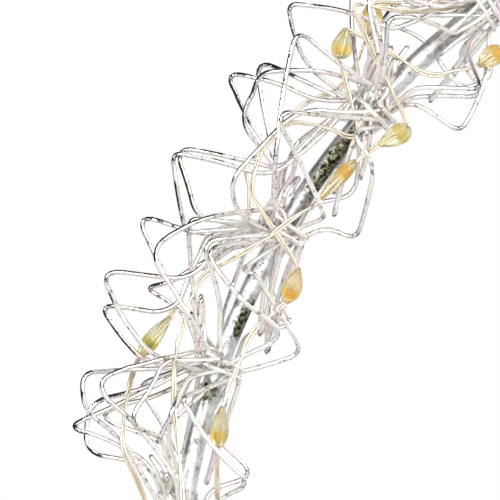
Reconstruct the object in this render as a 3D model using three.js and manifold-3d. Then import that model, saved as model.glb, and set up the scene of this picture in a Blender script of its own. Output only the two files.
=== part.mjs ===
// Wreath frame: a steel rod ring dressed with folded skeins of silver wire and a micro light string,
// with the string's battery box clipped on behind the lowest part of the rod.
// Millimetres, +Z up, the wreath hanging with its front towards -Y.
// The origin is the hanging point: the inside of the rod at the top of the ring.
import * as THREE from "three";
import { mergeVertices } from "three/addons/utils/BufferGeometryUtils.js";
import Module from "manifold-3d";

const wasm = await Module();
wasm.setup();

// Driving dimensions
const RING_RADIUS = 172; // rod centreline
const ROD_RADIUS = 2.25;
const ROD_STEPS = 60;
const ROD_SIDES = 8;
const WIRE_RADIUS = 0.5;
const WIRE_CORNER = 0.58; // corner radius of the plain three-sided wire section
const STRING_RADIUS = 0.6; // the two string wires side by side
const DROP_RADIUS = 2.3; // resin drop over each light
const GAP = 0.34; // least air between neighbouring pieces
const BAYS = 32; // stretches between the knots
const BAYS_PER_BLOCK = 4;
const FIRST_KNOT = THREE.MathUtils.degToRad(171.68);
const BAY_ANGLE = (2 * Math.PI) / BAYS;
const BAY_LENGTH = BAY_ANGLE * RING_RADIUS;
const BLOCK_LENGTH = BAYS_PER_BLOCK * BAY_LENGTH;
const RING_LENGTH = BAYS * BAY_LENGTH;
const CENTRE_Z = -(RING_RADIUS - ROD_RADIUS);

// Knots: the skein before a knot is hooked in on the outer layer, the one after it on the inner layer.
const INNER_LAYER = 3.35;
const OUTER_LAYER = 4.75;
const HOOK_REACH = 0.8; // how far a hairpin passes the knot
const HOOK_HOLD = 0.8; // how firmly the knot holds it: 0 is loose, 1 is fixed
const WRAP_RADIUS = 6.9;
const WRAP_SIDES = 6;
const WRAP_PITCH = 1.5;

// Looseness of the bays after the first block, and of the string there
const BAY_LOOSE = { along: 1.6, stretch: 0.1, out: 0.8, front: 1.8 };
const STRING_LOOSE = { along: 0.8, out: 1.2, front: 1.5 };

// Battery box, in its own frame: X along the box, Y to the back, Z up
const BOX = { length: 72, depth: 18.5, height: 36, wall: 1.6, corner: 2.5 };
const BOX_FRONT = 8.2; // rod centreline to the front of the box
const BOARD_BAY = 10.4; // inner length of the bay beside the cells
const CELL = { radius: 7.1, length: 49.5, pitch: 15.2, clearance: 0.5, towardsButton: 1.6 };
const CELL_EDGE = { in: 0.5, along: 0.5, shoulder: 0.6 };
const NUB = { radius: 2.7, length: 1 };
const PLATE = { thickness: 0.5, half: 6.6, fromWall: 0.4, fromFront: 0.5, fromBack: 1.2 };
const SPRING = { tip: 1.9, root: 3.6 };
const COVER = { thickness: 1.8, flange: 5.5, side: 1.3, lip: 1, lipWidth: 1.3, corner: 1.2 };
const BOARD_COVER_CORNER = 2;
const GROOVE_WIDTH = 2; // in the case's sides, for the cover's lips
const GRIP = { count: 5, pitch: 2.4, width: 1.2, depth: 0.7, half: 7, start: 6 };
const CLIP = { width: 6, outer: 4.3, inner: ROD_RADIUS + GAP, mouth: 48, places: [-33, 25] };
const CLIP_FOOT = { half: 3.2, intoClip: 0.9 };
const WIRE_NOTCH = { depth: 2.2, half: 12.1 }; // over the partition, for the contacts' leads
const SLOT = { length: 7.2, fromEnd: 3.4, half: 2.1 };
const DISH = { margin: 0.8, half: 4.6, floor: 0.9 };
const KNOB = { length: 3.4, below: 0.2, footHalf: 3.4, footThick: 1.4, footMargin: 0.6, underCover: 3.4 };
const KNOB_GROOVE = { places: [0.6, 2.2], width: 0.6, depth: 0.5 };
const BOARD = { thickness: 1.2, half: 14, clearance: 0.5, hole: 1.5 };
const SCREW_HOLE = { radius: 1.4, sinkRadius: 2.6, sinkFloor: 0.8, fromEnd: 6.5, fromBelow: 5.2 };
const SCREW_SHAPE = { shank: 1, length: 6, head: 2.2, rim: 0.3, crown: 1.5, height: 0.6 };
const EXIT_HOLE = 2.4;
const GROMMET = { bore: 1.1, neck: 2.05, flange: 3.3, shoulder: 2.6, tip: 1.5, inside: 0.4, reach: 4.4 };
const GROMMET_TAPER = 1.8;
const STRING_LEAD = { inside: 5, outside: 8 }; // the string's straight run through the box's end
const STRING_START_ANGLE = 285.5; // where the string's first lap begins, in degrees
const JOIN = 0.2; // how far two solids run into each other where they are one piece
const CUT = 1; // how far a cut runs past the face it opens
const ROUND_SIDES = 12;

// Colours
const STEEL = [0.62, 0.62, 0.6];
const SILVER = [0.86, 0.86, 0.86];
const STRING_CREAM = [0.93, 0.86, 0.66];
const PLASTIC = [0.68, 0.68, 0.67];
const KNOB_BLACK = [0.12, 0.12, 0.13];
const BOARD_GREEN = [0.1, 0.35, 0.2];
const RUBBER = [0.85, 0.85, 0.84];
const SLEEVE = [0.12, 0.19, 0.17];
const NICKEL = [0.75, 0.74, 0.7];

// Each hand-bent pass of wire is a list of bends: [along the rod from the bay's knot, outwards, forwards].
const BAY_SHAPES = [
  [
    [[4.5, -9, 4], [9.2, -12.5, 6], [25.5, 6, 11]],
    [[14.5, 6, 13], [21, 7.7, 15], [31, 5.5, 10]],
    [[14.5, 8, 9], [17.2, 14.8, 14], [30, 11, 10]],
    [[7.3, 5.5, 8], [23.3, 23.5, 13], [29.5, 14, 9]],
    [[10.5, 18, 8], [17.5, 25.3, 10], [23.5, 27.6, 10], [27, 21, 7]],
    [[5.5, 13.5, 2], [13.5, 27.2, 4], [20, 20, 3]],
    [[4.5, 13.5, -5], [9.5, 23, -7], [18, 24.4, -8], [27, 16, -5]],
    [[9, 13, -9], [16.5, 21.5, -12], [29, 13, -8]],
    [[15, 9, -13], [24, 15, -15], [31, 8, -8]],
    [[8, 1, -11], [19, -1, -15], [28, 3, -10]],
    [[5.5, -5.5, -4], [11.3, -13, -7], [22, 1.5, -9]],
  ],
  [
    [[9.8, -15, 2], [22, 1, 9], [24.8, 5.4, 10]],
    [[11.1, -10.5, 6], [15.5, 0.5, 13], [23.8, 12.6, 14]],
    [[13.8, 7.2, 11], [24.6, 14.1, 12]],
    [[5.5, 8, 13], [17.2, 22.7, 16], [26, 15.5, 13]],
    [[-0.4, 16, 9], [9.2, 30.4, 12], [15.6, 13.3, 10], [26, 11, 8]],
    [[15, 13.3, 4], [25.8, 18.7, 6], [31, 11, 5]],
    [[-2.9, 17, 4], [3.2, 28.2, 5], [6.3, 17, 3], [9.3, 13.8, 2], [25, 13.5, 2]],
    [[4, 15.5, -4], [21.5, 28.5, -7], [24.9, 14.3, -4]],
    [[6, 16, -12], [9.8, 20.8, -14], [12.8, 17, -13], [22, 10, -10]],
    [[9, 3, -13], [18, 4, -17], [27, 5, -11]],
    [[8, -3.5, -6], [15.3, -11, -8], [23, -4, -7]],
  ],
  [
    [[4.5, -8.5, 3], [7.5, -14.3, 4], [23, -8, 7], [27.5, -0.5, 9]],
    [[6.8, -6.7, 9], [19.5, 14.8, 15], [29, 5, 11]],
    [[10, 9.5, 15], [33.9, 23, 13]],
    [[0.7, 10, 12], [3.5, 15, 14], [12, 14, 13], [24, 12.5, 11]],
    [[-9.7, 18.5, 9], [1.5, 29, 11], [5, 20, 9], [9, 9, 7]],
    [[10, 10, 5], [14.5, 20.5, 7], [24, 23.4, 8], [30.5, 14, 6]],
    [[-6.2, 18, 2], [2.8, 28.3, 4], [6.5, 20, 3], [11, 8, 2]],
    [[11.5, 10, -6], [20.2, 29, -8], [25, 19, -7], [29, 12, -5]],
    [[13, 12, -12], [25.5, 25.3, -13], [30, 15, -9]],
    [[6, 4, -10], [17, 8, -16], [27, 6, -10]],
    [[8, -4, -9], [16, -8.5, -11], [26, -4, -8]],
  ],
  [
    [[5.5, -7.5, 5], [10.5, -17.2, 5], [24, -14.5, 6]],
    [[8.7, -4.5, 10], [20.5, -13.5, 11], [27, -7, 8]],
    [[6, 3, 13], [15.7, 11, 15], [20, 7.5, 14], [28, 4, 10]],
    [[7.7, 5, 11], [16.5, 18, 13], [28, 8, 10]],
    [[9, 7, 7], [18, 22, 9], [26, 14, 6]],
    [[-1.6, 18, 5], [3.8, 28.7, 7], [9.5, 19, 6], [16, 10, 4]],
    [[14.5, 12, -3], [18.8, 3, -5], [18.4, -10.8, -4], [25, -13, -4]],
    [[12, 18, -8], [21, 26, -9], [28, 13, -6]],
    [[9, 12, -12], [20, 13, -16], [27, 2, -10]],
    [[8, 2, -13], [17, 0, -17], [27, 2, -11]],
    [[8, -6, -8], [20.7, -14.5, -9], [25, -8, -8]],
  ],
];

// The light string's three laps over one block of four bays. A point marked DROP starts a resin drop
// that ends at the next point.
const DROP = 1;
const STRING_LAPS = [
  [
    [2, 8, 6], [11.5, 16.7, 8], [25, 17.8, 3], [30.2, 17, 1, DROP], [40, 13.9, -1], [59, 14.2, -5],
    [66, 7, -8], [75, 15, -8], [93, 12.5, -9], [100, 8, -8], [111.7, 12.4, -7, DROP], [117.3, 16.7, -6],
    [132, 4, -3],
  ],
  [
    [4, -1.5, 8], [24, 6, 12], [36, 10.6, 11], [50, 11.8, 9], [62, 4.5, 9], [77, -3.2, 6, DROP],
    [90.2, -5.4, 6], [95.8, -6.2, 6, DROP], [104, -8.8, 6], [109, 8, 10], [113.5, 20, 10], [124, 9, 8],
  ],
  [
    [3, -7, 3], [16, -5.2, 5, DROP], [25.5, -2.8, 6], [44, -3.6, 5], [53, -9, 5, DROP], [61.5, -7, 5],
    [70, 11, 8], [79, 13.8, 9], [88, 12.5, 8], [95, -3.8, 6], [104.5, 12.3, 7, DROP], [110.4, 17.3, 7],
    [115, -4.5, 7], [125.5, -8.5, 7, DROP], [133, -10, 6],
  ],
];

// Seeded draws, so that every build is the same.
let seed = 20617;
function draw(spread) {
  seed = (seed * 48271) % 2147483647;
  return (seed / 2147483647 - 0.5) * 2 * spread;
}

function ringPoint(along, out, front) {
  const angle = FIRST_KNOT - along / RING_RADIUS;
  const radius = RING_RADIUS + out;
  return new THREE.Vector3(radius * Math.cos(angle), -front, CENTRE_Z + radius * Math.sin(angle));
}

// A point at a polar angle round the rod: 0 is outwards, a quarter turn is forwards.
function aroundRod(along, radius, angle) {
  return ringPoint(along, radius * Math.cos(angle), radius * Math.sin(angle));
}

// Blocks after the first are varied: turned end for end, front for back, and loosened a little.
function varied(bend, block) {
  if (block === 0) {
    return bend;
  }
  const along = block % 2 === 1 ? BAY_LENGTH - bend[0] : bend[0];
  const side = block % 4 >= 2 ? -1 : 1;
  return [
    along + draw(BAY_LOOSE.along),
    bend[1] * (1 + draw(BAY_LOOSE.stretch)) + draw(BAY_LOOSE.out),
    bend[2] * side + draw(BAY_LOOSE.front),
  ];
}

function variedPass(pass, block) {
  const bends = pass.map((bend) => varied(bend, block));
  return block % 2 === 1 ? bends.reverse() : bends;
}

// Wires in front of the battery box are bent forwards, out of its way.
const BOX_MARGIN = { left: 12, right: 8 };
const BENT_FORWARDS = { share: 0.8, least: 1 };
function clearOfBox(along, bend) {
  const { x, z } = ringPoint(along, 0, 0);
  const beside = x > -BOX.length / 2 - BOX_MARGIN.left && x < BOX.length / 2 + BOX_MARGIN.right;
  const forwards = Math.abs(bend[2]) * BENT_FORWARDS.share + BENT_FORWARDS.least;
  return ringPoint(along, bend[1], z < CENTRE_Z && beside ? forwards : bend[2]);
}

// The side of the rod that a pass lies on, so that the passes of a skein go round the rod in order.
function polar(pass) {
  const out = pass.reduce((sum, bend) => sum + bend[1], 0);
  const front = pass.reduce((sum, bend) => sum + bend[2], 0);
  return Math.atan2(front, out);
}

// One skein: a single wire folded from knot to knot in an odd number of passes, so that it starts at
// one knot and its last end is wrapped round the rod at the next.
function skeinPath(bay) {
  const block = Math.floor(bay / BAYS_PER_BLOCK);
  const place = bay % BAYS_PER_BLOCK;
  const shape = BAY_SHAPES[block % 2 === 1 ? BAYS_PER_BLOCK - 1 - place : place];
  const start = bay * BAY_LENGTH;
  const passes = shape.map((pass) => variedPass(pass, block));
  passes.sort((a, b) => polar(b) - polar(a));
  const points = [];
  const firmness = [];
  const add = (point, firm) => {
    points.push(point);
    firmness.push(firm);
  };
  passes.forEach((pass, index) => {
    const angle = Math.PI * (1 - (2 * index + 1) / passes.length);
    const left = aroundRod(start - HOOK_REACH, INNER_LAYER, angle);
    const right = aroundRod(start + BAY_LENGTH + HOOK_REACH, OUTER_LAYER, angle);
    const bends = pass.map((bend) => clearOfBox(start + bend[0], bend));
    const run = [left, ...bends, right];
    if (index % 2 === 1) {
      run.reverse();
    }
    run.forEach((point, i) => add(point, i === 0 || i === run.length - 1 ? HOOK_HOLD : 0));
  });
  const knot = start + BAY_LENGTH;
  for (let i = 0; i <= WRAP_SIDES; i += 1) {
    const angle = -Math.PI + (Math.PI / WRAP_SIDES) * (1 + 2 * i);
    const pitch = WRAP_PITCH * (i / WRAP_SIDES - 0.5);
    add(aroundRod(knot - pitch, WRAP_RADIUS, angle), 1);
  }
  const radii = new Array(points.length - 1).fill(WIRE_RADIUS);
  return { points, firmness, radii };
}

// The light string leaves the box, makes its laps anticlockwise, and ends in its last drop.
function stringPath() {
  const points = [boxPoint(BOX.length / 2 - STRING_LEAD.inside, STRING_EXIT.y, STRING_EXIT.z)];
  points.push(boxPoint(BOX.length / 2 + STRING_LEAD.outside, STRING_EXIT.y, STRING_EXIT.z));
  const radii = [STRING_RADIUS];
  STRING_LAPS.forEach((lap) => {
    const stations = [];
    for (let block = 0; block < BAYS / BAYS_PER_BLOCK; block += 1) {
      const offset = block * BLOCK_LENGTH;
      const side = block % 2 === 1 ? -1 : 1;
      lap.forEach((bend) => {
        const loose = block === 0 ? 0 : 1;
        const along = offset + bend[0] + loose * draw(STRING_LOOSE.along);
        const out = bend[1] + loose * draw(STRING_LOOSE.out);
        const front = bend[2] * side + loose * draw(STRING_LOOSE.front);
        stations.push({ point: clearOfBox(along, [along, out, front]), along, drop: bend[3] === DROP });
      });
    }
    const count = stations.length;
    const first = stations.filter((station) => station.along < STRING_START).length - 1;
    for (let i = 0; i < count; i += 1) {
      const station = stations[(first - i + count) % count];
      radii.push(i > 0 && station.drop ? DROP_RADIUS : STRING_RADIUS);
      points.push(station.point);
    }
  });
  return { points, firmness: points.map((point, i) => (i < 2 ? 1 : 0)), radii };
}

// Closest points of two segments, as fractions along each.
const SCRATCH = { d1: new THREE.Vector3(), d2: new THREE.Vector3(), r: new THREE.Vector3() };
function closest(p1, q1, p2, q2) {
  const { d1, d2, r } = SCRATCH;
  d1.subVectors(q1, p1);
  d2.subVectors(q2, p2);
  r.subVectors(p1, p2);
  const a = d1.lengthSq();
  const e = d2.lengthSq();
  const f = d2.dot(r);
  const c = d1.dot(r);
  const b = d1.dot(d2);
  const spread = a * e - b * b;
  let s = spread > 1e-9 ? THREE.MathUtils.clamp((b * f - c * e) / spread, 0, 1) : 0.5;
  let t = (b * s + f) / e;
  if (t < 0 || t > 1) {
    t = THREE.MathUtils.clamp(t, 0, 1);
    s = THREE.MathUtils.clamp((b * t - c) / a, 0, 1);
  }
  return [s, t];
}

function allSegments(wires) {
  const segments = [];
  wires.forEach((wire, owner) => {
    wire.radii.forEach((radius, i) => {
      segments.push({ owner, i, radius, a: wire.points[i], b: wire.points[i + 1],
        wa: 1 - wire.firmness[i], wb: 1 - wire.firmness[i + 1] });
    });
  });
  return segments;
}

const NEAR = 1.5; // air up to which two pieces of wire may yet meet
function nearPairs(segments) {
  const pairs = [];
  const mids = segments.map((s) => s.a.clone().add(s.b).multiplyScalar(0.5));
  const halves = segments.map((s) => s.a.distanceTo(s.b) / 2 + s.radius + NEAR);
  for (let i = 0; i < segments.length; i += 1) {
    for (let j = i + 1; j < segments.length; j += 1) {
      const own = segments[i].owner === segments[j].owner;
      if (own && segments[j].i - segments[i].i < 2) {
        continue;
      }
      const reach = halves[i] + halves[j];
      if (mids[i].distanceToSquared(mids[j]) < reach * reach) {
        pairs.push([segments[i], segments[j]]);
      }
    }
  }
  return pairs;
}

// Wires that would touch push each other apart, as they do when the skeins are combed out by hand.
const SPARE = 0.22; // air beyond the least gap, taken up as the plain sections meet at their corners
const LONGEST_PUSH = 1.2;
const PUSH = new THREE.Vector3();
const AT1 = new THREE.Vector3();
const AT2 = new THREE.Vector3();
function pushApart([first, second]) {
  const need = first.radius + second.radius + GAP + SPARE;
  const [s, t] = closest(first.a, first.b, second.a, second.b);
  AT1.lerpVectors(first.a, first.b, s);
  AT2.lerpVectors(second.a, second.b, t);
  PUSH.subVectors(AT1, AT2);
  const distance = PUSH.length();
  if (distance >= need) {
    return;
  }
  if (distance < 1e-4) {
    PUSH.set(0, 1, 0);
  } else {
    PUSH.divideScalar(distance);
  }
  const w = [first.wa * (1 - s), first.wb * s, second.wa * (1 - t), second.wb * t];
  const total = w[0] * (1 - s) + w[1] * s + w[2] * (1 - t) + w[3] * t;
  if (total < 1e-6) {
    return;
  }
  const step = Math.min((need - distance) / total, LONGEST_PUSH);
  first.a.addScaledVector(PUSH, step * w[0]);
  first.b.addScaledVector(PUSH, step * w[1]);
  second.a.addScaledVector(PUSH, -step * w[2]);
  second.b.addScaledVector(PUSH, -step * w[3]);
}

// The rod, the clips and the battery box push the wires off themselves.
const CLEAR_STEPS = 8;
const MARGIN = 1.5; // round the clips and the box's sides
const ROD_SPARE = 0.12;
const BOX_SPARE = 0.1;
const LARGEST_SHARE = 3;
const AWAY = new THREE.Vector3();
function offTheRod(segment) {
  for (let k = 0; k <= CLEAR_STEPS; k += 1) {
    const s = k / CLEAR_STEPS;
    AT1.lerpVectors(segment.a, segment.b, s);
    const radial = Math.hypot(AT1.x, AT1.z - CENTRE_Z);
    const low = AT1.z < CENTRE_Z;
    const clipped = low && CLIP.places.some((x) => Math.abs(AT1.x - x) < CLIP.width / 2 + MARGIN);
    const need = (clipped ? CLIP.outer : ROD_RADIUS) + segment.radius + GAP + ROD_SPARE;
    const out = radial - RING_RADIUS;
    const distance = Math.hypot(out, AT1.y);
    AWAY.set(0, 0, 0);
    if (distance < need) {
      AWAY.set((AT1.x / radial) * out, AT1.y, ((AT1.z - CENTRE_Z) / radial) * out);
      AWAY.multiplyScalar((need - distance) / Math.max(distance, 1e-3));
    }
    const inX = Math.abs(AT1.x) < BOX.length / 2 + MARGIN;
    const inZ = Math.abs(AT1.z - BOX_Z) < BOX.height / 2 + MARGIN;
    const wall = BOX_FRONT - segment.radius - GAP - BOX_SPARE;
    if (low && inX && inZ && AT1.y > wall && segment.wa > 0) {
      AWAY.y -= AT1.y - wall;
    }
    const yielding = (1 - s) * (1 - s) * segment.wa + s * s * segment.wb;
    const share = Math.min(1 / (yielding + 1e-6), LARGEST_SHARE);
    segment.a.addScaledVector(AWAY, share * (1 - s) * segment.wa);
    segment.b.addScaledVector(AWAY, share * s * segment.wb);
  }
}

const COMB_ROUNDS = 40;
const COMB_STROKES = 8;
function combOut(wires) {
  const segments = allSegments(wires);
  for (let round = 0; round < COMB_ROUNDS; round += 1) {
    const pairs = nearPairs(segments);
    for (let stroke = 0; stroke < COMB_STROKES; stroke += 1) {
      pairs.forEach(pushApart);
      segments.forEach(offTheRod);
    }
  }
}

// A closed tube through the given points: a cylinder bent along them, mitred at each bend.
const MITRE_LIMIT = 1.3;
function bentTube(points, radii, sides) {
  const steps = points.length - 1;
  const geometry = new THREE.CylinderGeometry(1, 1, steps, sides, steps);
  const frames = [];
  const across = new THREE.Vector3(0.3, 0.5, 0.81);
  for (let i = 0; i <= steps; i += 1) {
    const into = new THREE.Vector3().subVectors(points[i], points[Math.max(i - 1, 0)]).normalize();
    const away = new THREE.Vector3().subVectors(points[Math.min(i + 1, steps)], points[i]).normalize();
    const tangent = new THREE.Vector3().addVectors(into, away).normalize();
    across.addScaledVector(tangent, -across.dot(tangent)).normalize();
    const bend = new THREE.Vector3().subVectors(away, into);
    bend.addScaledVector(tangent, -bend.dot(tangent));
    const ends = i === 0 || i === steps;
    const mitre = ends ? 1 : Math.min(1 / Math.max(tangent.dot(away), 0.1), MITRE_LIMIT);
    if (bend.lengthSq() > 1e-8) {
      bend.normalize();
    }
    frames.push({ u: across.clone(), v: new THREE.Vector3().crossVectors(tangent, across), bend, mitre });
  }
  const position = geometry.attributes.position;
  const offset = new THREE.Vector3();
  for (let n = 0; n < position.count; n += 1) {
    const i = Math.round(steps / 2 - position.getY(n));
    const { u, v, bend, mitre } = frames[i];
    offset.set(0, 0, 0).addScaledVector(u, position.getX(n)).addScaledVector(v, position.getZ(n));
    offset.addScaledVector(bend, offset.dot(bend) * (mitre - 1));
    offset.multiplyScalar(radii[i]).add(points[i]);
    position.setXYZ(n, offset.x, offset.y, offset.z);
  }
  return closedGeometry(geometry);
}

function closedGeometry(geometry) {
  geometry.deleteAttribute("normal");
  geometry.deleteAttribute("uv");
  return mergeVertices(geometry, 1e-4);
}

function solid(geometry) {
  const closed = closedGeometry(geometry);
  return new wasm.Manifold(new wasm.Mesh({
    numProp: 3,
    vertProperties: new Float32Array(closed.attributes.position.array),
    triVerts: new Uint32Array(closed.index.array),
  }));
}

function fromSolid(shape) {
  const mesh = shape.getMesh();
  const geometry = new THREE.BufferGeometry();
  geometry.setAttribute("position", new THREE.BufferAttribute(mesh.vertProperties, 3));
  geometry.setIndex(new THREE.BufferAttribute(mesh.triVerts, 1));
  return geometry;
}

// Solids for the battery box, placed by their corners or ends in the box's own frame.
const BOX_Z = CENTRE_Z - RING_RADIUS;
function boxPoint(x, y, z) {
  return new THREE.Vector3(x, BOX_FRONT + y, BOX_Z + z);
}

function slab(x0, x1, y0, y1, z0, z1) {
  const geometry = new THREE.BoxGeometry(x1 - x0, y1 - y0, z1 - z0);
  const middle = boxPoint((x0 + x1) / 2, (y0 + y1) / 2, (z0 + z1) / 2);
  return solid(geometry.translate(middle.x, middle.y, middle.z));
}

function roundedSlab(x0, x1, y0, y1, z0, z1, radius) {
  const shape = new THREE.Shape();
  const corners = [[x0, z0, Math.PI], [x1, z0, 1.5 * Math.PI], [x1, z1, 0], [x0, z1, 0.5 * Math.PI]];
  corners.forEach(([x, z, angle]) => {
    const cx = x + (x === x0 ? radius : -radius);
    const cz = z + (z === z0 ? radius : -radius);
    shape.absarc(cx, cz, radius, angle, angle + Math.PI / 2, false);
  });
  const settings = { depth: y1 - y0, bevelEnabled: false, curveSegments: 4 };
  const geometry = new THREE.ExtrudeGeometry(shape, settings);
  geometry.rotateX(Math.PI / 2);
  const low = boxPoint(0, y1, 0);
  return solid(geometry.translate(low.x, low.y, low.z));
}

// A round bar from front to back, for the screw's holes.
function barAlongY(at, y0, y1, radius) {
  const geometry = new THREE.CylinderGeometry(radius, radius, y1 - y0, ROUND_SIDES);
  const middle = boxPoint(at.x, (y0 + y1) / 2, at.z);
  return solid(geometry.translate(middle.x, middle.y, middle.z));
}

function barAlongX(x0, x1, y, z, radius) {
  const geometry = new THREE.CylinderGeometry(radius, radius, x1 - x0, ROUND_SIDES);
  geometry.rotateZ(Math.PI / 2);
  const middle = boxPoint((x0 + x1) / 2, y, z);
  return solid(geometry.translate(middle.x, middle.y, middle.z));
}

function turned(profile, sides) {
  return new THREE.LatheGeometry(profile.map(([r, y]) => new THREE.Vector2(r, y)), sides);
}

// The span from near to far on the upper (1) or lower (-1) side.
function onSide(side, near, far) {
  return side > 0 ? [near, far] : [-far, -near];
}

// Places along the box: end wall, cells and contacts, partition, board bay, end wall.
const HALF = BOX.length / 2;
const HALF_HEIGHT = BOX.height / 2;
const BASE_BACK = BOX.depth - COVER.thickness;
const PARTITION = HALF - BOX.wall - BOARD_BAY;
const CELL_BAY = { low: -HALF + BOX.wall, high: PARTITION - BOX.wall };
const CELL_MIDDLE = (CELL_BAY.low + CELL_BAY.high) / 2;
const CELL_Y = BOX.wall + CELL.radius + CELL.clearance;
const COVER_EDGE = PARTITION - BOX.wall / 2;
const COVER_FRONT = BASE_BACK + GAP;
const COVER_BACK = COVER_FRONT + COVER.thickness;
const STRING_EXIT = { y: 6, z: 0 };
const STRING_START =
  (FIRST_KNOT + 2 * Math.PI - THREE.MathUtils.degToRad(STRING_START_ANGLE)) * RING_RADIUS;
const SLOT_X0 = HALF - SLOT.fromEnd - SLOT.length;
const SLOT_X1 = HALF - SLOT.fromEnd;
const KNOB_Y = BASE_BACK - KNOB.underCover;
const SCREW = { x: HALF - SCREW_HOLE.fromEnd, z: -HALF_HEIGHT + SCREW_HOLE.fromBelow };

// A spring clip: a split ring round the rod, tilted to lie along it, with a foot on the box.
function rodClip(x) {
  const rodZ = CENTRE_Z - Math.sqrt(RING_RADIUS ** 2 - x ** 2);
  const outline = new THREE.Shape();
  const mouth = THREE.MathUtils.degToRad(CLIP.mouth);
  outline.absarc(0, 0, CLIP.outer, mouth, 2 * Math.PI - mouth, false);
  outline.absarc(0, 0, CLIP.inner, 2 * Math.PI - mouth, mouth, true);
  const settings = { depth: CLIP.width, bevelEnabled: false, curveSegments: 14 };
  const geometry = new THREE.ExtrudeGeometry(outline, settings);
  geometry.translate(0, 0, -CLIP.width / 2);
  geometry.rotateY(Math.PI / 2);
  geometry.rotateX(-Math.PI / 2);
  geometry.rotateY(-Math.asin(x / RING_RADIUS));
  geometry.translate(x, 0, rodZ);
  const z = rodZ - BOX_Z;
  const half = CLIP.width / 2;
  const front = -BOX_FRONT + CLIP.outer - CLIP_FOOT.intoClip;
  const foot = slab(x - half, x + half, front, JOIN, z - CLIP_FOOT.half, z + CLIP_FOOT.half);
  return solid(geometry).add(foot);
}

// The case's front shell: a tray open at the back, with the cell bay and the board bay side by side.
function caseBase() {
  let shape = roundedSlab(-HALF, HALF, 0, BASE_BACK, -HALF_HEIGHT, HALF_HEIGHT, BOX.corner);
  const inner = HALF_HEIGHT - BOX.wall;
  shape = shape.subtract(slab(CELL_BAY.low, CELL_BAY.high, BOX.wall, BOX.depth, -inner, inner));
  shape = shape.subtract(slab(PARTITION, HALF - BOX.wall, BOX.wall, BOX.depth, -inner, inner));
  const groove = BASE_BACK - COVER.flange;
  [-1, 1].forEach((side) => {
    const across = onSide(side, HALF_HEIGHT - COVER.lip, HALF_HEIGHT + CUT);
    shape = shape.subtract(slab(-HALF - CUT, COVER_EDGE, groove, groove + GROOVE_WIDTH, ...across));
  });
  const { y, z } = STRING_EXIT;
  shape = shape.subtract(barAlongX(HALF - BOX.wall - CUT, HALF + CUT, y, z, EXIT_HOLE));
  const notch = BASE_BACK - WIRE_NOTCH.depth;
  const { half } = WIRE_NOTCH;
  shape = shape.subtract(slab(CELL_BAY.high - CUT, PARTITION + CUT, notch, BOX.depth, -half, half));
  CLIP.places.forEach((x) => {
    shape = shape.add(rodClip(x));
  });
  return fromSolid(shape);
}

// The sliding cover: a plate with two flanges down the sides, whose lips run in the tray's grooves.
function batteryCover() {
  const x0 = -HALF;
  const x1 = COVER_EDGE - GAP;
  const flangeIn = HALF_HEIGHT + GAP;
  const flangeOut = flangeIn + COVER.side;
  let shape = roundedSlab(x0, x1, COVER_FRONT, COVER_BACK, -flangeOut, flangeOut, COVER.corner);
  const low = x0 + COVER.corner;
  const high = x1 - COVER.corner;
  const front = COVER_FRONT - COVER.flange;
  [-1, 1].forEach((side) => {
    const flange = onSide(side, flangeIn, flangeOut);
    const lip = onSide(side, flangeIn - COVER.lip, flangeIn + JOIN);
    shape = shape.add(slab(low, high, front, COVER_FRONT + JOIN, ...flange));
    shape = shape.add(slab(low, high, front, front + COVER.lipWidth, ...lip));
  });
  for (let i = 0; i < GRIP.count; i += 1) {
    const x = x0 + GRIP.start + i * GRIP.pitch;
    const bottom = COVER_BACK - GRIP.depth;
    shape = shape.subtract(slab(x, x + GRIP.width, bottom, COVER_BACK + CUT, -GRIP.half, GRIP.half));
  }
  return fromSolid(shape);
}

// The fixed cover over the board bay, slotted for the switch knob and sunk for the screw.
function boardCover() {
  const past = COVER_BACK + CUT;
  const left = COVER_EDGE + GAP;
  const corner = BOARD_COVER_CORNER;
  let shape = roundedSlab(left, HALF, COVER_FRONT, COVER_BACK, -HALF_HEIGHT, HALF_HEIGHT, corner);
  shape = shape.subtract(slab(SLOT_X0, SLOT_X1, COVER_FRONT - CUT, past, -SLOT.half, SLOT.half));
  const floor = COVER_FRONT + DISH.floor;
  const [dish0, dish1] = [SLOT_X0 - DISH.margin, SLOT_X1 + DISH.margin];
  shape = shape.subtract(slab(dish0, dish1, floor, past, -DISH.half, DISH.half));
  shape = shape.subtract(barAlongY(SCREW, COVER_FRONT - CUT, past, SCREW_HOLE.radius));
  shape = shape.subtract(barAlongY(SCREW, COVER_FRONT + SCREW_HOLE.sinkFloor, past, SCREW_HOLE.sinkRadius));
  return fromSolid(shape);
}

function coverScrew() {
  const { shank, length, head, rim, crown, height } = SCREW_SHAPE;
  const profile = [[0, -length], [shank, -length], [shank, 0], [head, 0], [head, rim], [crown, height],
    [0, height]];
  const at = boxPoint(SCREW.x, COVER_FRONT + SCREW_HOLE.sinkFloor + GAP, SCREW.z);
  return closedGeometry(turned(profile, ROUND_SIDES).translate(at.x, at.y, at.z));
}

// The slide switch's knob: a ribbed button on a stem, with a foot kept in under the cover.
function switchKnob() {
  const x0 = SLOT_X0 + GAP;
  const x1 = x0 + KNOB.length;
  const top = COVER_BACK - KNOB.below;
  const half = SLOT.half - GAP;
  const button = slab(x0, x1, KNOB_Y + JOIN, top, -half, half);
  const { footHalf, footMargin } = KNOB;
  const footBack = KNOB_Y + KNOB.footThick;
  let shape = button.add(slab(x0 - footMargin, x1 + footMargin, KNOB_Y, footBack, -footHalf, footHalf));
  const grooveFront = top - KNOB_GROOVE.depth;
  KNOB_GROOVE.places.forEach((place) => {
    const low = x0 + place;
    shape = shape.subtract(slab(low, low + KNOB_GROOVE.width, grooveFront, top + CUT, -SLOT.half, SLOT.half));
  });
  return fromSolid(shape);
}

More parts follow.
